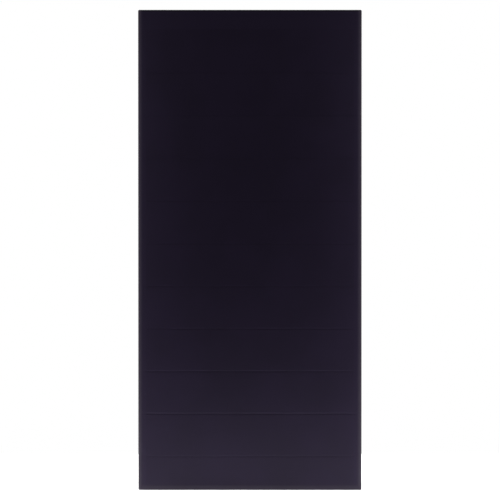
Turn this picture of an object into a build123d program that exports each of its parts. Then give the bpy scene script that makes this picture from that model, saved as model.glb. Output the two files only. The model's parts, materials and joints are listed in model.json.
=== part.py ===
"""Flexible solar sheet: a thin-film laminate that hangs or lies flat and bends along its length.

Frame: +X across the sheet, +Z up along it, the cells face -Y. The origin is the centre of the back face of the
top strip. Units are millimetres.

The laminate is, from back to front, a backsheet, an encapsulant with the cells and ribbons sealed inside it, and
a clear front film. It is cut into one strip per cell. Neighbouring strips meet at a flex line, where the sheet
bends, with a narrow gap so that two strips can tilt both ways without touching. A junction box sits on the back,
in the wide margin below the lowest cell.
"""

from build123d import *
import math
import os

# Sheet outline and cells
SHEET_WIDTH = 494.0
SHEET_LENGTH = 1062.0
CELL_COUNT = 10
CELL_PITCH = 94.1  # from one flex line to the next
CELL_LENGTH = 100.0  # the top cell shows all of it, the others tuck under their upper neighbour
SIDE_MARGIN = 17.0
BOTTOM_MARGIN = 72.5  # below the lowest cell, where the junction box is
CORNER_RADIUS = 3.0
FLEX_GAP = 0.5
BEND_RADIUS = 250.0  # the tightest curve that the sheet allows, shared out over the flex lines

# Layers, as thicknesses
BACKSHEET = 0.4
ENCAPSULANT = 1.2
FRONT_FILM = 0.2
CELL_THICKNESS = 0.2
RIBBON_THICKNESS = 0.15
BUS_THICKNESS = 0.15

# Depths in front of the back face at which the sealed pieces start
RIBBON_DEPTH = 0.5
BOTTOM_BUS_DEPTH = 0.8
CELL_DEPTH = BOTTOM_BUS_DEPTH + BUS_THICKNESS
TOP_BUS_DEPTH = CELL_DEPTH + CELL_THICKNESS

# Conductors
RIBBON_WIDTH = 12.0
TERMINAL_X = 28.0  # the return ribbon runs at +X, the bottom bus comes in at -X
BUS_HEIGHT = 14.0
BUS_LAP = 6.0  # how far a bus lies on its cell
TAB_REACH = 9.0  # how far the tabs stand up behind the back face

# Junction box
PAD_THICKNESS = 0.8
BOX_WIDTH = 116.0
BOX_HEIGHT = 54.0
BOX_DEPTH = 13.0
BOX_WALL = 2.2
BOX_CORNER = 6.0
BOX_EDGE = 1.2
BOX_ABOVE_EDGE = 38.0  # from the sheet's lower edge to the box's centre
FLANGE_REACH = 4.0
FLANGE_THICKNESS = 1.6
LID_THICKNESS = 2.4
LID_RIM_HEIGHT = 2.6
LID_RIM_WALL = 1.4
LID_CLEARANCE = 0.15
LID_PANEL_INSET = 6.0
LID_PANEL_DEPTH = 0.5
PRY_TAB_WIDTH = 12.0
PRY_TAB_REACH = 1.4
POLE_MARK = 5.0
POLE_MARK_WIDTH = 1.2
POLE_MARK_RISE = 0.3
POLE_MARK_X = 42.0
GASKET_WIDTH = 1.2
GASKET_THICKNESS = 0.8
PORT_RADIUS = 6.0
PORT_LENGTH = 9.0
PORT_RISE = 7.0  # height of the port's axis behind the back face
SEAL_OUTER_RADIUS = 4.6
SEAL_BORE_RADIUS = 3.0
SEAL_LIP_RADIUS = 5.4
SEAL_LIP = 1.5
SLOT_WIDTH = 13.0
SLOT_HEIGHT = 1.2
TERMINAL_LENGTH = 16.0
TERMINAL_HEIGHT = 12.0
TERMINAL_RISE = 7.0
LEAD_HOLE_RADIUS = 1.7
LEAD_HOLE_DEPTH = 10.0
SCREW_RADIUS = 1.5
SCREW_HEAD_RADIUS = 2.7
SCREW_HEAD_HEIGHT = 1.6
SCREW_DRIVE = 3.0
DIODE_RADIUS = 2.6
DIODE_LENGTH = 9.5
DIODE_LEAD_RADIUS = 0.6
DIODE_BAND = 0.25

# Worked out from the above
LAMINATE = BACKSHEET + ENCAPSULANT + FRONT_FILM
CELL_WIDTH = SHEET_WIDTH - 2 * SIDE_MARGIN
TOP_STRIP = SHEET_LENGTH - BOTTOM_MARGIN - (CELL_COUNT - 1) * CELL_PITCH
TOP_EDGE = TOP_STRIP / 2
BOTTOM_EDGE = TOP_EDGE - SHEET_LENGTH
CELLS_TOP = BOTTOM_EDGE + BOTTOM_MARGIN + (CELL_COUNT - 1) * CELL_PITCH + CELL_LENGTH
CELLS_BOTTOM = BOTTOM_EDGE + BOTTOM_MARGIN
BOX_Z = BOTTOM_EDGE + BOX_ABOVE_EDGE
BOX_FLOOR = PAD_THICKNESS + BOX_WALL
BOX_TOP = PAD_THICKNESS + BOX_DEPTH
TAB_Z = BOX_Z - TERMINAL_HEIGHT / 2

written = []


def flex_line(number):
    """Height of the flex line under strip `number`."""
    return TOP_EDGE - TOP_STRIP - (number - 1) * CELL_PITCH


def strip_ends(number):
    """Lower and upper end of a strip, half a flex gap short of each flex line."""
    low = BOTTOM_EDGE if number == CELL_COUNT else flex_line(number) + FLEX_GAP / 2
    high = TOP_EDGE if number == 1 else flex_line(number - 1) - FLEX_GAP / 2
    return low, high


def cell_ends(number):
    """Lower and upper end of the cell in a strip."""
    low, high = strip_ends(number)
    return max(low, CELLS_BOTTOM), min(high, CELLS_TOP)


def depth_plane(depth):
    """A plane parallel to the sheet, `depth` in front of its back face. Its own y is the sheet's +Z."""
    return Plane.XZ.offset(depth)


def behind(rise):
    """A plane parallel to the sheet, `rise` behind its back face, centred on the junction box, facing +Y."""
    return Plane(origin=(0, rise, BOX_Z), x_dir=(1, 0, 0), z_dir=(0, 1, 0))


def save(built, name):
    built.part.label = name
    export_step(built.part, f"parts/{name}.step")
    written.append(name)


def outline(low, high, width=SHEET_WIDTH):
    """A rectangle across the sheet from height `low` to `high`, in the current sketch."""
    with Locations((0, (low + high) / 2)):
        Rectangle(width, high - low)


def sheet_outline(number):
    """A strip's outline, with the sheet's own corners rounded on the first and the last strip."""
    outline(*strip_ends(number))
    if number == 1:
        fillet(vertices().group_by(Axis.Y)[-1], CORNER_RADIUS)
    if number == CELL_COUNT:
        fillet(vertices().group_by(Axis.Y)[0], CORNER_RADIUS)


def tab_slots():
    """The two slots for the conductor tabs, in a sketch on a plane behind the sheet."""
    with Locations((-TERMINAL_X, BOX_Z - TAB_Z), (TERMINAL_X, BOX_Z - TAB_Z)):
        Rectangle(SLOT_WIDTH, SLOT_HEIGHT)


def make_front_film(number):
    with BuildPart() as front_film:
        with BuildSketch(depth_plane(BACKSHEET + ENCAPSULANT)):
            sheet_outline(number)
        extrude(amount=FRONT_FILM)
    save(front_film, f"front_film_{number:02d}")


def make_cell(number):
    with BuildPart() as cell:
        with BuildSketch(depth_plane(CELL_DEPTH)):
            outline(*cell_ends(number), CELL_WIDTH)
        extrude(amount=CELL_THICKNESS)
    save(cell, f"cell_{number:02d}")
    return cell


def make_return_ribbon(number):
    """One strip's length of the ribbon that brings the top pole down to the junction box."""
    low, high = strip_ends(number)
    if number == 1:
        high = CELLS_TOP
    if number == CELL_COUNT:
        low = TAB_Z - RIBBON_THICKNESS
    with BuildPart() as return_ribbon:
        with BuildSketch(depth_plane(RIBBON_DEPTH)):
            with Locations((TERMINAL_X, (low + high) / 2)):
                Rectangle(RIBBON_WIDTH, high - low)
        extrude(amount=RIBBON_THICKNESS)
        if number == CELL_COUNT:
            with BuildSketch(depth_plane(RIBBON_DEPTH)):
                with Locations((TERMINAL_X, TAB_Z - RIBBON_THICKNESS / 2)):
                    Rectangle(RIBBON_WIDTH, RIBBON_THICKNESS)
            extrude(amount=-(RIBBON_DEPTH + TAB_REACH))
    save(return_ribbon, f"return_ribbon_{number:02d}")
    return return_ribbon


def make_top_bus():
    """The bus on the front of the first cell, folded back at +X to meet the return ribbon."""
    top = CELLS_TOP + BUS_HEIGHT - BUS_LAP
    with BuildPart() as top_bus:
        with BuildSketch(depth_plane(TOP_BUS_DEPTH)):
            outline(CELLS_TOP - BUS_LAP, top, CELL_WIDTH)
        extrude(amount=BUS_THICKNESS)
        with BuildSketch(depth_plane(RIBBON_DEPTH)):
            with Locations((TERMINAL_X, (CELLS_TOP + top) / 2)):
                Rectangle(RIBBON_WIDTH, top - CELLS_TOP)
        extrude(amount=RIBBON_THICKNESS)
        with BuildSketch(depth_plane(RIBBON_DEPTH)):
            with Locations((TERMINAL_X, top - BUS_THICKNESS / 2)):
                Rectangle(RIBBON_WIDTH, BUS_THICKNESS)
        extrude(amount=TOP_BUS_DEPTH + BUS_THICKNESS - RIBBON_DEPTH)
    save(top_bus, "top_bus")
    return top_bus


def make_bottom_bus():
    """The bus behind the last cell, with a tab at -X that goes back through the backsheet to its terminal."""
    low = CELLS_BOTTOM + BUS_LAP - BUS_HEIGHT
    with BuildPart() as bottom_bus:
        with BuildSketch(depth_plane(BOTTOM_BUS_DEPTH)):
            outline(low, low + BUS_HEIGHT, CELL_WIDTH)
            with Locations((-TERMINAL_X, (TAB_Z - BUS_THICKNESS + low) / 2)):
                Rectangle(RIBBON_WIDTH, low - TAB_Z + BUS_THICKNESS)
        extrude(amount=BUS_THICKNESS)
        with BuildSketch(depth_plane(BOTTOM_BUS_DEPTH)):
            with Locations((-TERMINAL_X, TAB_Z - BUS_THICKNESS / 2)):
                Rectangle(RIBBON_WIDTH, BUS_THICKNESS)
        extrude(amount=-(BOTTOM_BUS_DEPTH + TAB_REACH))
    save(bottom_bus, "bottom_bus")
    return bottom_bus


def make_encapsulant(number, sealed_in):
    """The adhesive layer, moulded round the pieces that are sealed in it."""
    with BuildPart() as encapsulant:
        with BuildSketch(depth_plane(BACKSHEET)):
            sheet_outline(number)
        extrude(amount=ENCAPSULANT)
        for piece in sealed_in:
            add(piece.part, mode=Mode.SUBTRACT)
    save(encapsulant, f"encapsulant_{number:02d}")


def make_backsheet(number):
    with BuildPart() as backsheet:
        with BuildSketch(depth_plane(0)):
            sheet_outline(number)
        extrude(amount=BACKSHEET)
        if number == CELL_COUNT:
            with BuildSketch(behind(0)):
                tab_slots()
            extrude(amount=-BACKSHEET, mode=Mode.SUBTRACT)
    save(backsheet, f"backsheet_{number:02d}")


def box_outline(inset=0.0, mode=Mode.ADD):
    """The junction box's outline in the current sketch, drawn in by `inset` all round."""
    RectangleRounded(BOX_WIDTH - 2 * inset, BOX_HEIGHT - 2 * inset, BOX_CORNER - inset, mode=mode)


def port_plane(side, reach):
    """A plane across a lead port's axis, `reach` out from the sheet's middle on side +1 or -1, facing outwards."""
    return Plane(origin=(side * reach, PORT_RISE, BOX_Z), x_dir=(0, 0, 1), z_dir=(side, 0, 0))


def make_box_pad():
    """The adhesive pad between the backsheet and the junction box."""
    with BuildPart() as box_pad:
        with BuildSketch(behind(0)):
            box_outline(-FLANGE_REACH)
        extrude(amount=PAD_THICKNESS)
        with BuildSketch(behind(0)):
            tab_slots()
        extrude(amount=PAD_THICKNESS, mode=Mode.SUBTRACT)
    save(box_pad, "box_pad")


def make_box_base():
    """The junction box's open shell: a flange, a lead port on each side, and a slot in its floor for each tab."""
    with BuildPart() as box_base:
        with BuildSketch(behind(PAD_THICKNESS)):
            box_outline(-FLANGE_REACH)
        extrude(amount=FLANGE_THICKNESS)
        chamfer(edges().group_by(Axis.Y)[-1], FLANGE_THICKNESS / 2)
        with BuildSketch(behind(PAD_THICKNESS)):
            box_outline()
        extrude(amount=BOX_DEPTH)
        for side in (-1, 1):
            with BuildSketch(port_plane(side, BOX_WIDTH / 2 - BOX_WALL)):
                Circle(PORT_RADIUS)
            extrude(amount=PORT_LENGTH + BOX_WALL)
        port_mouths = edges().filter_by(GeomType.CIRCLE).group_by(Axis.X)
        chamfer([port_mouths[0][0], port_mouths[-1][0]], BOX_EDGE / 2)
        with BuildSketch(behind(BOX_FLOOR)):
            box_outline(BOX_WALL)
        extrude(amount=BOX_DEPTH, mode=Mode.SUBTRACT)
        for side in (-1, 1):
            with BuildSketch(port_plane(side, BOX_WIDTH / 2 - 2 * BOX_WALL)):
                Circle(SEAL_OUTER_RADIUS)
            extrude(amount=PORT_LENGTH + 3 * BOX_WALL, mode=Mode.SUBTRACT)
        with BuildSketch(behind(PAD_THICKNESS)):
            tab_slots()
        extrude(amount=BOX_WALL, mode=Mode.SUBTRACT)
    save(box_base, "box_base")


def make_box_lid():
    """The lid: a plate with pry tabs, a sunk panel and pole marks, a rim that fits the shell, and a gasket groove."""
    lid_face = BOX_TOP + LID_THICKNESS
    with BuildPart() as box_lid:
        with BuildSketch(behind(BOX_TOP)):
            box_outline()
        extrude(amount=LID_THICKNESS)
        fillet(edges().group_by(Axis.Y)[-1], BOX_EDGE)
        with BuildSketch(behind(lid_face - LID_PANEL_DEPTH)):
            RectangleRounded(BOX_WIDTH - 2 * LID_PANEL_INSET, BOX_HEIGHT - 2 * LID_PANEL_INSET, BOX_CORNER / 2)
        extrude(amount=LID_PANEL_DEPTH, mode=Mode.SUBTRACT)
        with BuildSketch(behind(BOX_TOP)):
            with Locations((-BOX_WIDTH / 2, 0), (BOX_WIDTH / 2, 0)):
                Rectangle(2 * PRY_TAB_REACH, PRY_TAB_WIDTH)
        extrude(amount=LID_THICKNESS / 2)
        with BuildSketch(behind(lid_face - LID_PANEL_DEPTH)):
            with Locations((-POLE_MARK_X, 0), (POLE_MARK_X, 0)):
                Rectangle(POLE_MARK, POLE_MARK_WIDTH)
            with Locations((POLE_MARK_X, 0)):
                Rectangle(POLE_MARK_WIDTH, POLE_MARK)
        extrude(amount=POLE_MARK_RISE)
        with BuildSketch(behind(BOX_TOP - LID_RIM_HEIGHT)):
            box_outline(BOX_WALL + LID_CLEARANCE)
            box_outline(BOX_WALL + LID_CLEARANCE + LID_RIM_WALL, mode=Mode.SUBTRACT)
        extrude(amount=LID_RIM_HEIGHT)
        with BuildSketch(behind(BOX_TOP)):
            gasket_ring()
        extrude(amount=GASKET_THICKNESS, mode=Mode.SUBTRACT)
    save(box_lid, "box_lid")


def gasket_ring():
    """The gasket's outline, centred on the shell's wall, in the current sketch."""
    inset = (BOX_WALL - GASKET_WIDTH) / 2
    box_outline(inset)
    box_outline(inset + GASKET_WIDTH, mode=Mode.SUBTRACT)


def make_lid_gasket():
    with BuildPart() as lid_gasket:
        with BuildSketch(behind(BOX_TOP)):
            gasket_ring()
        extrude(amount=GASKET_THICKNESS)
    save(lid_gasket, "lid_gasket")


def make_lead_seals():
    """A rubber bush in each port, with a lip outside. A lead goes through its bore."""
    with BuildPart() as lead_seals:
        for side in (-1, 1):
            with BuildSketch(port_plane(side, BOX_WIDTH / 2 - BOX_WALL)):
                Circle(SEAL_OUTER_RADIUS)
            extrude(amount=PORT_LENGTH + BOX_WALL)
            with BuildSketch(port_plane(side, BOX_WIDTH / 2 + PORT_LENGTH)):
                Circle(SEAL_LIP_RADIUS)
            extrude(amount=SEAL_LIP, taper=15)
            with BuildSketch(port_plane(side, BOX_WIDTH / 2 - BOX_WALL)):
                Circle(SEAL_BORE_RADIUS)
            extrude(amount=PORT_LENGTH + BOX_WALL + SEAL_LIP, mode=Mode.SUBTRACT)
    save(lead_seals, "lead_seals")


def make_terminals():
    """Two metal blocks on the box's floor. Each has a hole for a lead and a threaded hole for its screw."""
    with BuildPart() as terminals:
        for side in (-1, 1):
            with BuildSketch(behind(BOX_FLOOR)):
                with Locations((side * TERMINAL_X, 0)):
                    Rectangle(TERMINAL_LENGTH, TERMINAL_HEIGHT)
            extrude(amount=TERMINAL_RISE)
        chamfer(edges().group_by(Axis.Y)[-1], BOX_EDGE / 3)
        for side in (-1, 1):
            outer_face = TERMINAL_X + TERMINAL_LENGTH / 2
            with BuildSketch(port_plane(side, outer_face - LEAD_HOLE_DEPTH)):
                Circle(LEAD_HOLE_RADIUS)
            extrude(amount=LEAD_HOLE_DEPTH, mode=Mode.SUBTRACT)
            with BuildSketch(behind(PORT_RISE)):
                with Locations((side * TERMINAL_X, 0)):
                    Circle(SCREW_RADIUS)
            extrude(amount=TERMINAL_RISE, mode=Mode.SUBTRACT)
    save(terminals, "terminals")


def make_terminal_screws():
    head_plane = BOX_FLOOR + TERMINAL_RISE
    with BuildPart() as terminal_screws:
        for side in (-1, 1):
            with BuildSketch(behind(PORT_RISE + LEAD_HOLE_RADIUS)):
                with Locations((side * TERMINAL_X, 0)):
                    Circle(SCREW_RADIUS)
            extrude(amount=head_plane - PORT_RISE - LEAD_HOLE_RADIUS)
            with BuildSketch(behind(head_plane)):
                with Locations((side * TERMINAL_X, 0)):
                    Circle(SCREW_HEAD_RADIUS)
            extrude(amount=SCREW_HEAD_HEIGHT)
            with BuildSketch(behind(head_plane + SCREW_HEAD_HEIGHT / 2)):
                with Locations((side * TERMINAL_X, 0)):
                    Rectangle(SCREW_DRIVE, SCREW_DRIVE / 5)
                    Rectangle(SCREW_DRIVE / 5, SCREW_DRIVE)
            extrude(amount=SCREW_HEAD_HEIGHT, mode=Mode.SUBTRACT)
    save(terminal_screws, "terminal_screws")


def make_bypass_diode():
    """An axial diode between the two terminals."""
    gap = 2 * TERMINAL_X - TERMINAL_LENGTH
    with BuildPart() as bypass_diode:
        with BuildSketch(port_plane(1, -gap / 2)):
            Circle(DIODE_LEAD_RADIUS)
        extrude(amount=gap)
        with BuildSketch(port_plane(1, -DIODE_LENGTH / 2)):
            Circle(DIODE_RADIUS)
        extrude(amount=DIODE_LENGTH)
        with BuildSketch(port_plane(1, DIODE_LENGTH / 4)):
            Circle(DIODE_RADIUS + DIODE_BAND)
        extrude(amount=DIODE_LENGTH / 8)
    save(bypass_diode, "bypass_diode")


os.makedirs("parts", exist_ok=True)

for strip in range(1, CELL_COUNT + 1):
    make_front_film(strip)
    make_backsheet(strip)
    sealed = [make_cell(strip), make_return_ribbon(strip)]
    if strip == 1:
        sealed.append(make_top_bus())
    if strip == CELL_COUNT:
        sealed.append(make_bottom_bus())
    make_encapsulant(strip, sealed)

make_box_pad()
make_box_base()
make_box_lid()
make_lid_gasket()
make_lead_seals()
make_terminals()
make_terminal_screws()
make_bypass_diode()

print(f"{len(written)} nodes, laminate {LAMINATE:.2f} mm thick")
print(f"top edge {TOP_EDGE:.2f}, bottom edge {BOTTOM_EDGE:.2f}, junction box at z {BOX_Z:.2f}")
print("flex lines at z", [round(flex_line(n), 2) for n in range(1, CELL_COUNT)])
print(f"each flex line turns {math.degrees(CELL_PITCH / BEND_RADIUS):.1f} degrees each way")
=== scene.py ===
"""The looks of the flexible solar sheet, built round its CAD frame.

Metres. +X runs across the sheet, +Z up along it, and the cells face -Y. The outer layers run on past the
flex lines, so each is made as spans that meet halfway up a strip, where the sheet stays flat. A span bends
over the flex line in its middle. The sealed layers, the ribbons and the junction box keep their CAD shapes,
and a thin strip of sealing layer fills the gap at each flex line.
"""

import json
import math

import bpy
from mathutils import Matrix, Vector

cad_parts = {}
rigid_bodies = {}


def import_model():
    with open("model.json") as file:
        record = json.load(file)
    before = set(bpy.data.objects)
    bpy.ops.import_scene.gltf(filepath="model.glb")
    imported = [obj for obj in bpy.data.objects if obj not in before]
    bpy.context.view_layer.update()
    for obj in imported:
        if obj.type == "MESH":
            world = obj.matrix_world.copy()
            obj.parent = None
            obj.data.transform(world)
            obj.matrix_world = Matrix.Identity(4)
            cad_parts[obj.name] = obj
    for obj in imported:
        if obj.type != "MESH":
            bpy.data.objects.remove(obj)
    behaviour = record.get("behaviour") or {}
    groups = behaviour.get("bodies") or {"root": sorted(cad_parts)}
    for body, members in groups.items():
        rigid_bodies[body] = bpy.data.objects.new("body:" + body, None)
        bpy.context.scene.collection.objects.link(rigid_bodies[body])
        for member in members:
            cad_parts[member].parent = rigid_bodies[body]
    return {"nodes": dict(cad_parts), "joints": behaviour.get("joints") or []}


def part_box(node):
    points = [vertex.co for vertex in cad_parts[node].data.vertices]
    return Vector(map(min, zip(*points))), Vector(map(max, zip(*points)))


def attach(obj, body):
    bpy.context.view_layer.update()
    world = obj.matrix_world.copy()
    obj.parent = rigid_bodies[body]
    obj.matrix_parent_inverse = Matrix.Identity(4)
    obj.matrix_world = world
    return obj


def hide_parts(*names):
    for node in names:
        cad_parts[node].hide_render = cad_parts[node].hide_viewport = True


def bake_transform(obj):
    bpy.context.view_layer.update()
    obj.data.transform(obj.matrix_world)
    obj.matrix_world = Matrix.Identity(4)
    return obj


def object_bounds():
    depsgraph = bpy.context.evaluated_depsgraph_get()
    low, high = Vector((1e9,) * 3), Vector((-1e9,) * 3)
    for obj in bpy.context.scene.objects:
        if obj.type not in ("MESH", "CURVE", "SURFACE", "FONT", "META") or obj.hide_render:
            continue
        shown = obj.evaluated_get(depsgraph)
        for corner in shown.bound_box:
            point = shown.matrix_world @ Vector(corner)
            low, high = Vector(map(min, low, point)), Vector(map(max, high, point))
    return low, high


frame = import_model()
cad_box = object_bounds()

MM = 0.001

# Heights and widths that the frame gives
flex_lines = [joint["pos_m"][2] for joint in frame["joints"]]
strips = [joint["parent"] for joint in frame["joints"]] + [frame["joints"][-1]["child"]]
sheet_low, sheet_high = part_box(f"front_film_{len(strips):02d}")[0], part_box("front_film_01")[1]
back_low, back_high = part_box("backsheet_01")
core_low, core_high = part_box("encapsulant_01")
ribbon_low, ribbon_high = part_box("return_ribbon_01")
ribbon_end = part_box(f"return_ribbon_{len(strips):02d}")[0].z
top_bus_low, top_bus_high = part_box("top_bus")
bottom_bus_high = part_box("bottom_bus")[1]
PITCH = (flex_lines[0] - flex_lines[-1]) / (len(flex_lines) - 1)
FRONT = sheet_low.y
SHEET_HALF = sheet_high.x
CELL_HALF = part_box("cell_01")[1].x
CELLS_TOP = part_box("cell_01")[1].z
CELLS_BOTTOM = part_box(f"cell_{len(strips):02d}")[0].z
CORNER_RADIUS = 3.0 * MM

# Bends over the flex lines
BEND_HALF = 5.0 * MM
BEND_ROWS = 6

# The front film's relief: a groove just above each cell's lower edge, the last one shallower
GROOVE_DEPTH = 0.165 * MM
GROOVE_HALF = 3.2 * MM
GROOVE_ROWS = 4
GROOVE_RISE = 2.4 * MM
GROOVE_END = 4.0 * MM
LAST_GROOVE = 0.65

# The front film's edges, which fall away. The rows are shares of the rim's width.
RIM = 3.5 * MM
RIM_DROP = 0.15 * MM
RIM_ROWS = (0.15, 0.3, 0.65, 1.0, 1.25)

# The backsheet's relief: what lies under it shows as low ridges, and it sinks past the cells' ends
LAP_RIDGE = 0.16 * MM
LAP_RIDGE_HALF = 3.4 * MM
RIBBON_RIDGE = 0.15 * MM
MARGIN_SINK = 0.10 * MM
SHOULDER = 1.4 * MM

# Extra edge rows beside a change of slope, which keep the wide faces next to it flat
GUARD = 0.7 * MM


# ---------------------------------------------------------------- modelling

def deselect():
    if bpy.context.object and bpy.context.object.mode != "OBJECT":
        bpy.ops.object.mode_set(mode="OBJECT")
    bpy.ops.object.select_all(action="DESELECT")


def choose(piece):
    deselect()
    piece.select_set(True)
    bpy.context.view_layer.objects.active = piece


def slab(name, low, high):
    """A flat slab between two corners, with its place in its mesh."""
    deselect()
    low, high = Vector(low), Vector(high)
    bpy.ops.mesh.primitive_cube_add(size=1, location=(low + high) / 2)
    piece = bpy.context.object
    piece.name = name
    piece.data.name = name
    piece.scale = high - low
    bpy.ops.object.transform_apply(location=True, rotation=True, scale=True)
    return piece


def cut_rows(piece, places, axis):
    """Cuts edge rows through the piece, square to the axis, at each of the places."""
    choose(piece)
    bpy.ops.object.mode_set(mode="EDIT")
    normal = [float(number == axis) for number in range(3)]
    for place in places:
        bpy.ops.mesh.select_all(action="SELECT")
        bpy.ops.mesh.bisect(plane_co=[place * part for part in normal], plane_no=normal)
    bpy.ops.object.mode_set(mode="OBJECT")


def select_none(piece, kind):
    """Sets what edit mode selects, VERT or EDGE, and leaves the piece in object mode with none selected."""
    choose(piece)
    bpy.ops.object.mode_set(mode="EDIT")
    bpy.ops.mesh.select_mode(type=kind)
    bpy.ops.mesh.select_all(action="DESELECT")
    bpy.ops.object.mode_set(mode="OBJECT")


def shift_points(piece, wanted, by):
    """Moves the points for which wanted(point) is true."""
    select_none(piece, "VERT")
    for point in piece.data.vertices:
        point.select = bool(wanted(point.co))
    if any(point.select for point in piece.data.vertices):
        bpy.ops.object.mode_set(mode="EDIT")
        bpy.ops.transform.translate(value=by)
        bpy.ops.object.mode_set(mode="OBJECT")


def near(value, target, reach=0.05 * MM):
    return abs(value - target) < reach


def swell(distance, half):
    """1 in the middle of a ridge or groove, and 0 past its half width."""
    return 0.5 + 0.5 * math.cos(math.pi * distance / half) if abs(distance) < half else 0.0


def round_corners(piece, at_height):
    """Rounds the sheet's two corners at the given height."""
    select_none(piece, "EDGE")
    points = piece.data.vertices
    for edge in piece.data.edges:
        first, second = points[edge.vertices[0]].co, points[edge.vertices[1]].co
        on_side = near(abs(first.x), SHEET_HALF) and near(abs(second.x), SHEET_HALF)
        on_end = near(first.z, at_height) and near(second.z, at_height)
        edge.select = on_side and on_end and not near(first.y, second.y, 0.01 * MM)
    bpy.ops.object.mode_set(mode="EDIT")
    bpy.ops.mesh.bevel(offset=CORNER_RADIUS, segments=5, affect="EDGES")
    bpy.ops.object.mode_set(mode="OBJECT")


def finish_shape(piece, material):
    """Merges doubles, points the faces outwards, shades them and gives them their material."""
    choose(piece)
    bpy.ops.object.mode_set(mode="EDIT")
    bpy.ops.mesh.select_all(action="SELECT")
    bpy.ops.mesh.remove_doubles(threshold=0.001 * MM)
    bpy.ops.mesh.normals_make_consistent(inside=False)
    bpy.ops.object.mode_set(mode="OBJECT")
    bpy.ops.object.shade_smooth_by_angle(angle=math.radians(40))
    piece.data.materials.append(material)


# ---------------------------------------------------------------- spans

def make_spans():
    """One entry for each span, from the top: its ends, its flex line, and the bodies above and below."""
    joins = [line + PITCH / 2 for line in flex_lines] + [flex_lines[-1] - PITCH / 2]
    spans = []
    for number in range(len(strips) + 1):
        first, last = number == 0, number == len(strips)
        spans.append({
            "number": number,
            "high": sheet_high.z if first else joins[number - 1],
            "low": sheet_low.z if last else joins[number],
            "flex": None if first or last else flex_lines[number - 1],
            "above": strips[max(number - 1, 0)],
            "below": strips[min(number, len(strips) - 1)],
        })
    return spans


def spread(places, gap=0.2 * MM):
    """The places in order, without any that lies right beside the one before it."""
    kept = []
    for place in sorted(places):
        if not kept or place - kept[-1] > gap:
            kept.append(place)
    return kept


def bend_rows(span):
    """Heights of the edge rows that let a span bend smoothly over its flex line."""
    if span["flex"] is None:
        return []
    return [span["flex"] + BEND_HALF * row / BEND_ROWS for row in range(-BEND_ROWS, BEND_ROWS + 1)]


def end_of(span):
    """The height of the sheet's end that the span reaches, if it reaches one."""
    if span["flex"] is not None:
        return None
    return span["high"] if span["number"] == 0 else span["low"]


def hang(piece, span, node=None):
    """Ties an end span's piece to its strip, bakes a middle span's place into its mesh without tying it to
    any strip, and hides the CAD node it stands for.
    """
    if span["flex"] is None:
        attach(piece, span["above"])
    else:
        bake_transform(piece)
    if node in frame["nodes"]:
        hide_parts(node)


def edge_distance(point, end):
    """How far a point lies inside the sheet's outline, with its rounded corners."""
    sideways = SHEET_HALF - abs(point.x)
    if end is None:
        return sideways
    endways = abs(point.z - end)
    if max(sideways, endways) < CORNER_RADIUS:
        return CORNER_RADIUS - math.hypot(CORNER_RADIUS - sideways, CORNER_RADIUS - endways)
    return min(sideways, endways)


def lower_rim(piece, end):
    """Lets the front fall away towards the sheet's edges."""
    steps = {round(edge_distance(point.co, end) / MM, 2) for point in piece.data.vertices}
    for step in sorted(steps):
        drop = RIM_DROP * max(0.0, 1 - step * MM / RIM) ** 3
        if drop > 0.001 * MM:
            shift_points(
                piece,
                lambda point: near(point.y, FRONT) and near(edge_distance(point, end), step * MM, 0.005 * MM),
                (0, drop, 0),
            )


def make_front_skin(span, material):
    """The front film with what is seen through it."""
    piece = slab(
        f"front_skin_{span['number']:02d}",
        (-SHEET_HALF, FRONT, span["low"]),
        (SHEET_HALF, core_low.y, span["high"]),
    )
    grooves = [(line + GROOVE_RISE, 1.0) for line in flex_lines]
    grooves += [(CELLS_BOTTOM + GROOVE_RISE, LAST_GROOVE)]
    grooves = [(middle, share) for middle, share in grooves if span["low"] < middle < span["high"]]
    rows = bend_rows(span)
    for middle, _ in grooves:
        steps = range(-GROOVE_ROWS - 1, GROOVE_ROWS + 2)
        rows += [middle + GROOVE_HALF * step / GROOVE_ROWS for step in steps]
    end = end_of(span)
    if end is not None:
        round_corners(piece, end)
        inward = 1 if end == span["low"] else -1
        rows += [end + inward * share * RIM for share in RIM_ROWS]
    rows = spread(rows)
    columns = [SHEET_HALF - share * RIM for share in RIM_ROWS] + [CELL_HALF - GROOVE_END, CELL_HALF]
    cut_rows(piece, sorted(side * place for side in (-1, 1) for place in columns), axis=0)
    cut_rows(piece, rows, axis=2)

    def on_cells(point):
        return near(point.y, FRONT) and abs(point.x) < CELL_HALF - GROOVE_END / 2

    for row in rows:
        depth = GROOVE_DEPTH * sum(share * swell(row - middle, GROOVE_HALF) for middle, share in grooves)
        if depth > 0:
            shift_points(piece, lambda point: near(point.z, row) and on_cells(point), (0, depth, 0))

    lower_rim(piece, end)
    finish_shape(piece, material)
    hang(piece, span, f"front_film_{span['number'] + 1:02d}")


def with_guards(foot, crest):
    """The foot and crest of a shoulder, with a row past each."""
    outward = GUARD if foot > crest else -GUARD
    return [foot + outward, foot, crest, crest - outward]


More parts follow.
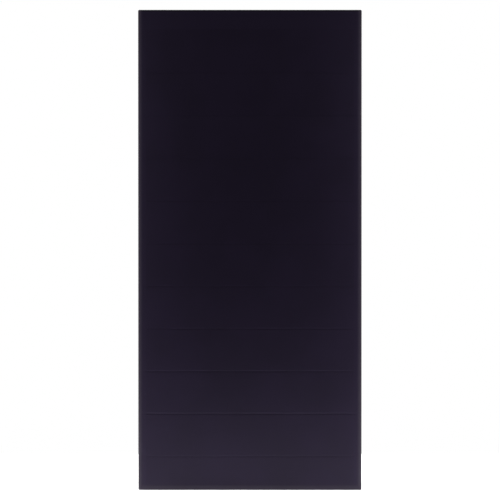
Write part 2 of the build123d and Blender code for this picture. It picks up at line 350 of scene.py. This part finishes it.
def make_backsheet(span, material):
    """The backsheet, raised over the laps, the return ribbon and the buses."""
    piece = slab(
        f"back_skin_{span['number']:02d}",
        (-SHEET_HALF, back_low.y, span["low"]),
        (SHEET_HALF, back_high.y, span["high"]),
    )
    if span["flex"] is None:
        round_corners(piece, end_of(span))
    bus_width = top_bus_high.z - top_bus_low.z
    ribbon = (ribbon_low.x, ribbon_high.x, max(ribbon_end, span["low"]), min(ribbon_high.z, span["high"]))
    buses = [
        (-CELL_HALF, CELL_HALF, low, low + bus_width)
        for low in (top_bus_low.z, bottom_bus_high.z - bus_width)
        if span["low"] < low < span["high"]
    ]
    rows = bend_rows(span)
    for _, _, low, high in [ribbon] + buses:
        rows += with_guards(low - SHOULDER, low) if low > span["low"] else []
        rows += with_guards(high + SHOULDER, high) if high < span["high"] else []
    columns = with_guards(ribbon_low.x - SHOULDER, ribbon_low.x)
    columns += with_guards(ribbon_high.x + SHOULDER, ribbon_high.x)
    for side in (-1, 1):
        columns += with_guards(side * (CELL_HALF + SHOULDER), side * CELL_HALF)
    cut_rows(piece, sorted(columns), axis=0)
    cut_rows(piece, spread(rows), axis=2)

    def behind(point):
        return point.y > (back_low.y + back_high.y) / 2

    def over_cells(point):
        return behind(point) and abs(point.x) < CELL_HALF + SHOULDER / 2

    for row in bend_rows(span):
        height = LAP_RIDGE * swell(row - span["flex"], LAP_RIDGE_HALF)
        if height > 0:
            shift_points(piece, lambda point: near(point.z, row) and over_cells(point), (0, height, 0))
    slack = 0.05 * MM
    for left, right, low, high in [ribbon] + buses:
        shift_points(
            piece,
            lambda point: behind(point) and left - slack < point.x < right + slack
            and low - slack < point.z < high + slack,
            (0, RIBBON_RIDGE, 0),
        )
    shift_points(piece, lambda point: behind(point) and not over_cells(point), (0, -MARGIN_SINK, 0))
    finish_shape(piece, material)
    hang(piece, span, f"backsheet_{span['number'] + 1:02d}")


def make_seam(span, material):
    """The sealing layer in the gap between two strips."""
    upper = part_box(f"encapsulant_{span['number']:02d}")[0].z
    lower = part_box(f"encapsulant_{span['number'] + 1:02d}")[1].z
    piece = slab(
        f"core_seam_{span['number']:02d}",
        (-SHEET_HALF, core_low.y, lower),
        (SHEET_HALF, core_high.y, upper),
    )
    cut_rows(piece, [span["flex"]], axis=2)
    finish_shape(piece, material)
    hang(piece, span)


# ---------------------------------------------------------------- node tools

def new_material(name):
    """A new material, its node tree and its shader."""
    material = bpy.data.materials.new(name)
    material.use_nodes = True
    return material, material.node_tree, material.node_tree.nodes["Principled BSDF"]


def add_node(tree, kind, **settings):
    made = tree.nodes.new(kind)
    for key, value in settings.items():
        setattr(made, key, value)
    return made


def feed(tree, socket, value):
    """Gives a socket a number, a colour or another node's output."""
    if isinstance(value, (int, float)):
        socket.default_value = value
    elif isinstance(value, tuple):
        socket.default_value = (*value, 1)
    else:
        tree.links.new(value, socket)


def math_node(tree, operation, *values, clamp=False):
    made = add_node(tree, "ShaderNodeMath", operation=operation, use_clamp=clamp)
    for socket, value in zip(made.inputs, values):
        feed(tree, socket, value)
    return made.outputs[0]


def ramp_between(tree, value, low, high, out_low=0.0, out_high=1.0):
    """Goes smoothly from out_low to out_high as the value goes from low to high."""
    made = add_node(tree, "ShaderNodeMapRange", interpolation_type="SMOOTHSTEP")
    feed(tree, made.inputs["Value"], value)
    feed(tree, made.inputs["From Min"], low)
    feed(tree, made.inputs["From Max"], high)
    feed(tree, made.inputs["To Min"], out_low)
    feed(tree, made.inputs["To Max"], out_high)
    return made.outputs["Result"]


def mix_colours(tree, share, first, second):
    made = add_node(tree, "ShaderNodeMix", data_type="RGBA")
    feed(tree, made.inputs["Factor"], share)
    feed(tree, made.inputs[6], first)
    feed(tree, made.inputs[7], second)
    return made.outputs[2]


def noise(tree, place, scale, detail=3.0):
    made = add_node(tree, "ShaderNodeTexNoise")
    feed(tree, made.inputs["Vector"], place)
    feed(tree, made.inputs["Scale"], scale)
    feed(tree, made.inputs["Detail"], detail)
    return made.outputs["Fac"]


def bump(tree, shader, height):
    """Relief from a height in millimetres."""
    made = add_node(tree, "ShaderNodeBump")
    feed(tree, made.inputs["Strength"], 1.0)
    feed(tree, made.inputs["Distance"], MM)
    feed(tree, made.inputs["Height"], height)
    feed(tree, shader.inputs["Normal"], made.outputs["Normal"])


def object_place(tree):
    """Object coordinates, and the same split into X, Y and Z."""
    coordinates = add_node(tree, "ShaderNodeTexCoord")
    parts = add_node(tree, "ShaderNodeSeparateXYZ")
    feed(tree, parts.inputs[0], coordinates.outputs["Object"])
    return coordinates.outputs["Object"], parts.outputs


# ---------------------------------------------------------------- effects that materials share

SOCKETS = {"value": "NodeSocketFloat", "colour": "NodeSocketColor", "place": "NodeSocketVector"}
DUST_COLOUR = (0.16, 0.155, 0.15)


def new_effect(name, takes, gives):
    """An empty node group, with its sockets as name and kind pairs. Returns its tree, inputs and outputs."""
    tree = bpy.data.node_groups.new(name, "ShaderNodeTree")
    for direction, sockets in (("INPUT", takes), ("OUTPUT", gives)):
        for label, kind in sockets:
            tree.interface.new_socket(name=label, in_out=direction, socket_type=SOCKETS[kind])
    return tree, add_node(tree, "NodeGroupInput").outputs, add_node(tree, "NodeGroupOutput").inputs


def place_effect(tree, effect, **values):
    """Puts an effect in a material, with its own values."""
    made = add_node(tree, "ShaderNodeGroup", node_tree=effect)
    for label, value in values.items():
        feed(tree, made.inputs[label], value)
    return made.outputs


def surface_grain_effect():
    """Fine grain: its height in millimetres, and a roughness that follows it."""
    tree, takes, gives = new_effect(
        "surface_grain",
        [("Place", "place"), ("Scale", "value"), ("Depth", "value"), ("Smooth", "value"), ("Rough", "value")],
        [("Height", "value"), ("Roughness", "value")],
    )
    grain = noise(tree, takes["Place"], takes["Scale"])
    share = ramp_between(tree, grain, 0.2, 0.8)
    spare = math_node(tree, "SUBTRACT", takes["Rough"], takes["Smooth"])
    roughness = math_node(tree, "MULTIPLY_ADD", share, spare, takes["Smooth"])
    feed(tree, gives["Height"], math_node(tree, "MULTIPLY", grain, takes["Depth"]))
    feed(tree, gives["Roughness"], roughness)
    return tree


def cloudy_tint_effect():
    """A colour that drifts slowly between a dark and a light tone."""
    tree, takes, gives = new_effect(
        "cloudy_tint",
        [("Place", "place"), ("Scale", "value"), ("Dark", "colour"), ("Light", "colour")],
        [("Colour", "colour")],
    )
    cloud = ramp_between(tree, noise(tree, takes["Place"], takes["Scale"]), 0.3, 0.7)
    feed(tree, gives["Colour"], mix_colours(tree, cloud, takes["Dark"], takes["Light"]))
    return tree


def handling_dust_effect():
    """Pale specks and smears, left by handling, over a colour."""
    tree, takes, gives = new_effect(
        "handling_dust",
        [("Place", "place"), ("Amount", "value"), ("Colour", "colour")],
        [("Colour", "colour")],
    )
    smears = ramp_between(tree, noise(tree, takes["Place"], 21.0, detail=5.0), 0.50, 0.78)
    specks = ramp_between(tree, noise(tree, takes["Place"], 620.0, detail=1.0), 0.70, 0.78)
    faint_specks = math_node(tree, "MULTIPLY", specks, 0.5)
    both = math_node(tree, "MULTIPLY_ADD", smears, 0.35, faint_specks, clamp=True)
    mask = math_node(tree, "MULTIPLY", both, takes["Amount"])
    feed(tree, gives["Colour"], mix_colours(tree, mask, takes["Colour"], DUST_COLOUR))
    return tree


surface_grain = surface_grain_effect()
cloudy_tint = cloudy_tint_effect()
handling_dust = handling_dust_effect()


def tint(tree, place, scale, dark, light):
    """A colour that drifts between a dark and a light tone."""
    return place_effect(tree, cloudy_tint, Place=place, Scale=scale, Dark=dark, Light=light)["Colour"]


def dusty(tree, place, amount, colour):
    """The colour with handling dust on it."""
    return place_effect(tree, handling_dust, Place=place, Amount=amount, Colour=colour)["Colour"]


def grained(tree, shader, place, scale, depth, smooth, rough):
    """Gives the shader the grain's roughness. Returns the grain's height."""
    grain = place_effect(
        tree, surface_grain, Place=place, Scale=scale, Depth=depth, Smooth=smooth, Rough=rough
    )
    feed(tree, shader.inputs["Roughness"], grain["Roughness"])
    return grain["Height"]


# ---------------------------------------------------------------- materials

# The cells' colours as they show through the film, then the painted shade colour and the painted sheen colour
CELL_COLOUR = (0.0114, 0.0070, 0.0212)
CELL_DRIFT = 0.08
MARGIN_COLOUR = (0.0130, 0.0082, 0.0240)
# Painted shade, for the shadow line under each lap and the dark strip along the top edge
PAINTED_SHADE_COLOUR = (0.0040, 0.0024, 0.0080)
WIRE_COLOUR = (0.0220, 0.0150, 0.0360)
# Painted sheen, a paler tone standing in for reflections towards the sides and the bottom edge
PAINTED_SHEEN_COLOUR = (0.0094, 0.0066, 0.0112)

# The thin wires along the cells
WIRE_PITCH = 6.0 * MM
WIRE_HALF = 0.06 * MM
WIRE_SHARE = 0.4

# The painted shadow line below each groove's middle, and the painted shade strip along the sheet's top edge
SHADOW_LINE_BELOW = 0.35 * GROOVE_HALF
SHADOW_LINE_OUTER = 1.1 * MM
SHADOW_LINE_INNER = 0.3 * MM
SHADOW_LINE_SHARE = 0.3
TOP_SHADE_OUTER = 4.2 * MM
TOP_SHADE_INNER = 2.6 * MM
TOP_SHADE_SHARE = 0.9

# The painted sheen, a paler colour standing in for the reflections towards the sheet's sides and its bottom
# edge: where it starts, and where it is full
SIDE_SHEEN_START = 13.5 * MM
SIDE_SHEEN_FULL = 0.5 * MM
SIDE_SHEEN_CURVE = 1.3
BOTTOM_SHEEN_START = 15.0 * MM
BOTTOM_SHEEN_FULL = 6.0 * MM
BOTTOM_SHEEN_SHARE = 0.5

# The cross-hatch that the press cloth leaves in the backsheet
CLOTH_PITCH = 1.6 * MM
CLOTH_DEPTH_MM = 0.012


def cell_colour(tree, place, across):
    """The absorber's colour, with the thin wires that run along the sheet over each cell."""
    dark = tuple((1 - CELL_DRIFT) * part for part in CELL_COLOUR)
    light = tuple((1 + CELL_DRIFT) * part for part in CELL_COLOUR)
    from_wire = math_node(tree, "PINGPONG", across, WIRE_PITCH / 2)
    wires = ramp_between(tree, from_wire, 1.6 * WIRE_HALF, 0.6 * WIRE_HALF, 0.0, WIRE_SHARE)
    return mix_colours(tree, wires, tint(tree, place, 9.0, dark, light), WIRE_COLOUR)


def cells_under_film():
    """The satin film with the cells' colour showing through, a painted shadow line under each cell's lower
    edge, painted shade along the top edge and a painted sheen towards the sides and the bottom edge.
    """
    material, tree, shader = new_material("cells_under_film")
    place, (across, _, up) = object_place(tree)
    sideways = math_node(tree, "ABSOLUTE", across)

    # Masks: the cells, and how strongly each lap shows
    cell_ends = ramp_between(tree, sideways, CELL_HALF + 0.3 * MM, CELL_HALF - 0.3 * MM)
    below_top = math_node(tree, "LESS_THAN", up, CELLS_TOP)
    on_cells = math_node(tree, "MULTIPLY", cell_ends, below_top)
    above_lap = math_node(
        tree, "WRAP", math_node(tree, "SUBTRACT", up, CELLS_BOTTOM), PITCH / 2, -PITCH / 2
    )
    lap_ends = ramp_between(tree, sideways, CELL_HALF, CELL_HALF - GROOVE_END)
    below_first_cell = math_node(tree, "LESS_THAN", up, flex_lines[0] + PITCH / 2)
    above_last_lap = math_node(tree, "GREATER_THAN", up, CELLS_BOTTOM + PITCH / 2)
    strength = math_node(tree, "MULTIPLY_ADD", above_last_lap, 1 - LAST_GROOVE, LAST_GROOVE)
    laps = math_node(tree, "MULTIPLY", math_node(tree, "MULTIPLY", lap_ends, below_first_cell), strength)

    # Colour: margin, cells, painted shadow lines under the laps, painted shade along the top edge, and
    # painted sheen towards the sides and the bottom edge
    body = mix_colours(tree, on_cells, MARGIN_COLOUR, cell_colour(tree, place, across))
    from_shadow_line = math_node(
        tree, "ABSOLUTE", math_node(tree, "SUBTRACT", above_lap, GROOVE_RISE - SHADOW_LINE_BELOW)
    )
    # Painted shadow: a dark line just below each lap's groove, where the shadow under the step falls
    line = ramp_between(tree, from_shadow_line, SHADOW_LINE_OUTER, SHADOW_LINE_INNER, 0.0, SHADOW_LINE_SHARE)
    shadow_lined = mix_colours(tree, math_node(tree, "MULTIPLY", line, laps), body, PAINTED_SHADE_COLOUR)
    # Painted shade: a dark strip along the sheet's top edge
    top_shade = ramp_between(
        tree, up, sheet_high.z - TOP_SHADE_OUTER, sheet_high.z - TOP_SHADE_INNER, 0.0, TOP_SHADE_SHARE
    )
    top_shaded = mix_colours(tree, top_shade, shadow_lined, PAINTED_SHADE_COLOUR)
    # Painted sheen towards the sides and the bottom edge, standing in for reflections of the side lamps and
    # the floor
    side_sheen = ramp_between(tree, sideways, SHEET_HALF - SIDE_SHEEN_START, SHEET_HALF - SIDE_SHEEN_FULL)
    bottom_sheen = ramp_between(
        tree, up, sheet_low.z + BOTTOM_SHEEN_START, sheet_low.z + BOTTOM_SHEEN_FULL, 0.0, BOTTOM_SHEEN_SHARE
    )
    rim = math_node(tree, "MAXIMUM", math_node(tree, "POWER", side_sheen, SIDE_SHEEN_CURVE), bottom_sheen)
    feed(tree, shader.inputs["Base Color"], mix_colours(tree, rim, top_shaded, PAINTED_SHEEN_COLOUR))

    # Gloss: the cells' metallic sheen fades at the rim, where the painted sheen lies, so the rim reflects
    # more brightly, under a satin coat
    feed(tree, shader.inputs["Metallic"], ramp_between(tree, rim, 0.0, 1.0, 0.95, 0.3))
    shader.inputs["Specular Tint"].default_value = (0.88, 0.78, 1.0, 1)
    shader.inputs["Coat Weight"].default_value = 0.42
    shader.inputs["Coat Roughness"].default_value = 0.34
    shader.inputs["Coat IOR"].default_value = 1.40

    # Relief: fine grain, and a groove that is slightly uneven along its length
    grain = grained(tree, shader, place, scale=1400.0, depth=0.004, smooth=0.39, rough=0.43)
    from_groove = math_node(tree, "ABSOLUTE", math_node(tree, "SUBTRACT", above_lap, GROOVE_RISE))
    groove = math_node(tree, "MULTIPLY", ramp_between(tree, from_groove, GROOVE_HALF, 0.0), laps)
    uneven = ramp_between(tree, noise(tree, place, 13.0), 0.35, 0.65, -0.05, 0.05)
    bump(tree, shader, math_node(tree, "MULTIPLY_ADD", groove, uneven, grain))
    return material


def cell_foil():
    """The absorber on its metal foil, with its wires."""
    material, tree, shader = new_material("cell_foil")
    place, (across, _, _) = object_place(tree)
    feed(tree, shader.inputs["Base Color"], cell_colour(tree, place, across))
    shader.inputs["Metallic"].default_value = 0.95
    bump(tree, shader, grained(tree, shader, place, scale=2200.0, depth=0.003, smooth=0.26, rough=0.36))
    return material


def backsheet_film():
    """The black rear film, with the fine cross-hatch of the press cloth in it."""
    material, tree, shader = new_material("backsheet_film")
    place, (across, _, up) = object_place(tree)
    black = tint(tree, place, 14.0, dark=(0.0115, 0.0115, 0.0125), light=(0.0165, 0.0165, 0.0180))
    feed(tree, shader.inputs["Base Color"], dusty(tree, place, 0.16, black))
    shader.inputs["Specular IOR Level"].default_value = 0.4
    grain = grained(tree, shader, place, scale=900.0, depth=0.012, smooth=0.33, rough=0.45)
    turns = 2 * math.pi / CLOTH_PITCH
    warp, weft = (
        math_node(tree, "SINE", math_node(tree, "MULTIPLY", direction, turns)) for direction in (across, up)
    )
    weave = math_node(tree, "MULTIPLY", warp, weft)
    bump(tree, shader, math_node(tree, "MULTIPLY_ADD", weave, CLOTH_DEPTH_MM, grain))
    return material


def finish(name, dark, light, smooth, rough, scale, depth, metallic=0.0, dust=0.0, tint_scale=60.0):
    """A moulded, rubber or plated finish with fine grain."""
    material, tree, shader = new_material(name)
    place, _ = object_place(tree)
    colour = tint(tree, place, tint_scale, dark, light)
    feed(tree, shader.inputs["Base Color"], dusty(tree, place, dust, colour) if dust else colour)
    shader.inputs["Metallic"].default_value = metallic
    bump(tree, shader, grained(tree, shader, place, scale, depth, smooth, rough))
    return material


film = cells_under_film()
backing = backsheet_film()
foil = cell_foil()
sealing = finish(
    "sealing_layer", dark=(0.045, 0.040, 0.055), light=(0.080, 0.075, 0.090),
    smooth=0.34, rough=0.50, scale=1800.0, depth=0.010, tint_scale=220.0,
)
box_plastic = finish(
    "box_plastic", dark=(0.013, 0.013, 0.014), light=(0.020, 0.020, 0.022),
    smooth=0.30, rough=0.46, scale=1100.0, depth=0.05, dust=0.2,
)
seal_rubber = finish(
    "seal_rubber", dark=(0.016, 0.016, 0.016), light=(0.022, 0.022, 0.022),
    smooth=0.60, rough=0.75, scale=900.0, depth=0.02, dust=0.3,
)
pad_foam = finish(
    "pad_foam", dark=(0.012, 0.012, 0.012), light=(0.024, 0.024, 0.024),
    smooth=0.80, rough=0.90, scale=1200.0, depth=0.05,
)
ribbon_tin = finish(
    "ribbon_tin", dark=(0.55, 0.55, 0.53), light=(0.68, 0.68, 0.66),
    smooth=0.28, rough=0.40, scale=700.0, depth=0.01, metallic=1.0,
)
plated_brass = finish(
    "plated_brass", dark=(0.58, 0.55, 0.48), light=(0.68, 0.65, 0.58),
    smooth=0.22, rough=0.34, scale=700.0, depth=0.01, metallic=1.0,
)
zinc_steel = finish(
    "zinc_steel", dark=(0.48, 0.48, 0.50), light=(0.60, 0.60, 0.62),
    smooth=0.25, rough=0.38, scale=700.0, depth=0.01, metallic=1.0,
)
diode_epoxy = finish(
    "diode_epoxy", dark=(0.014, 0.014, 0.015), light=(0.020, 0.020, 0.021),
    smooth=0.30, rough=0.42, scale=900.0, depth=0.01,
)

# ---------------------------------------------------------------- pieces

for span in make_spans():
    make_front_skin(span, film)
    make_backsheet(span, backing)
    if span["flex"] is not None:
        make_seam(span, sealing)

node_finishes = {
    "box_base": box_plastic, "box_lid": box_plastic, "box_pad": pad_foam,
    "lid_gasket": seal_rubber, "lead_seals": seal_rubber,
    "terminals": plated_brass, "terminal_screws": zinc_steel, "bypass_diode": diode_epoxy,
    "top_bus": ribbon_tin, "bottom_bus": ribbon_tin,
}
for number in range(1, len(strips) + 1):
    node_finishes[f"encapsulant_{number:02d}"] = sealing
    node_finishes[f"cell_{number:02d}"] = foil
    node_finishes[f"return_ribbon_{number:02d}"] = ribbon_tin
for node, material in node_finishes.items():
    mesh = frame["nodes"][node].data
    mesh.materials.clear()
    mesh.materials.append(material)

# ---------------------------------------------------------------- floor and lights

FLOOR_SIZE = 2.1
ROOM_GREY = 0.042

deselect()
bpy.ops.mesh.primitive_plane_add(size=FLOOR_SIZE, location=(0, 0, cad_box[0].z))
floor = bpy.context.object
floor.name = "floor"
floor_paint, _, floor_shader = new_material("floor_paint")
floor_shader.inputs["Base Color"].default_value = (0.86, 0.86, 0.86, 1)
floor_shader.inputs["Roughness"].default_value = 0.7
floor.data.materials.append(floor_paint)


def softbox(name, place, aim, width, height, power):
    """A rectangular studio lamp that the camera doesn't see."""
    lamp = bpy.data.lights.new(name, "AREA")
    lamp.shape = "RECTANGLE"
    lamp.size, lamp.size_y = width, height
    lamp.energy = power
    holder = bpy.data.objects.new(name, lamp)
    bpy.context.scene.collection.objects.link(holder)
    holder.location = place
    holder.rotation_euler = (Vector(aim) - Vector(place)).to_track_quat("-Z", "Y").to_euler()
    holder.visible_camera = False


middle = (cad_box[0] + cad_box[1]) / 2
for name, depth, power in (("front", -1.1, 200), ("back", 1.1, 150)):
    softbox(
        f"overhead_{name}_light", place=(0, depth, 2.2), aim=(0, depth, 0),
        width=3.6, height=2.0, power=power,
    )
for name, side, power in (("left", -1, 2.1), ("right", 1, 2.4)):
    beside = Vector((side * 0.44, -0.30, middle.z))
    softbox(
        f"{name}_strip_light", place=beside, aim=beside + Vector((-side * 0.6, 1, 0)),
        width=0.06, height=1.1, power=power,
    )
    softbox(
        f"back_{name}_light", place=(side * 1.5, 1.8, 0.3), aim=middle,
        width=1.0, height=1.6, power=8,
    )
softbox(
    "back_grazing_light", place=(-0.62, 0.20, middle.z + 0.1), aim=middle + Vector((0.1, 0, 0)),
    width=0.10, height=1.2, power=2.4,
)
softbox(
    "back_top_light", place=(0.1, 0.35, cad_box[1].z + 0.35), aim=middle + Vector((0, 0, 0.2)),
    width=0.9, height=0.12, power=2.0,
)

# The room is dark grey to the sheet, and plain white where nothing stands before it
world = bpy.data.worlds.new("studio")
bpy.context.scene.world = world
world.use_nodes = True
sky = world.node_tree
room = sky.nodes["Background"]
room.inputs["Color"].default_value = (ROOM_GREY, ROOM_GREY, ROOM_GREY, 1)
backdrop = add_node(sky, "ShaderNodeBackground")
backdrop.inputs["Color"].default_value = (1, 1, 1, 1)
ray = add_node(sky, "ShaderNodeLightPath")
either = add_node(sky, "ShaderNodeMixShader")
feed(sky, either.inputs["Fac"], ray.outputs["Is Camera Ray"])
feed(sky, either.inputs[1], room.outputs[0])
feed(sky, either.inputs[2], backdrop.outputs[0])
feed(sky, sky.nodes["World Output"].inputs["Surface"], either.outputs[0])

bpy.context.scene.view_settings.view_transform = "Standard"

# ---------------------------------------------------------------- camera

VIEW_HEIGHT = 1.1058
LENS = 250.0
SENSOR = 36.0
CAMERA_RISE = math.radians(1.0)
AIM_RIGHT = 0.0002
AIM_UP = 0.0005

aim = Vector((AIM_RIGHT, FRONT, middle.z + AIM_UP))
camera_data = bpy.data.cameras.new("camera")
camera_data.lens = LENS
camera_data.sensor_width = SENSOR
camera = bpy.data.objects.new("camera", camera_data)
bpy.context.scene.collection.objects.link(camera)
outward = Vector((0, -math.cos(CAMERA_RISE), math.sin(CAMERA_RISE)))
camera.location = aim + outward * (VIEW_HEIGHT * LENS / SENSOR)
camera.rotation_euler = (aim - camera.location).to_track_quat("-Z", "Y").to_euler()
bpy.context.scene.camera = camera
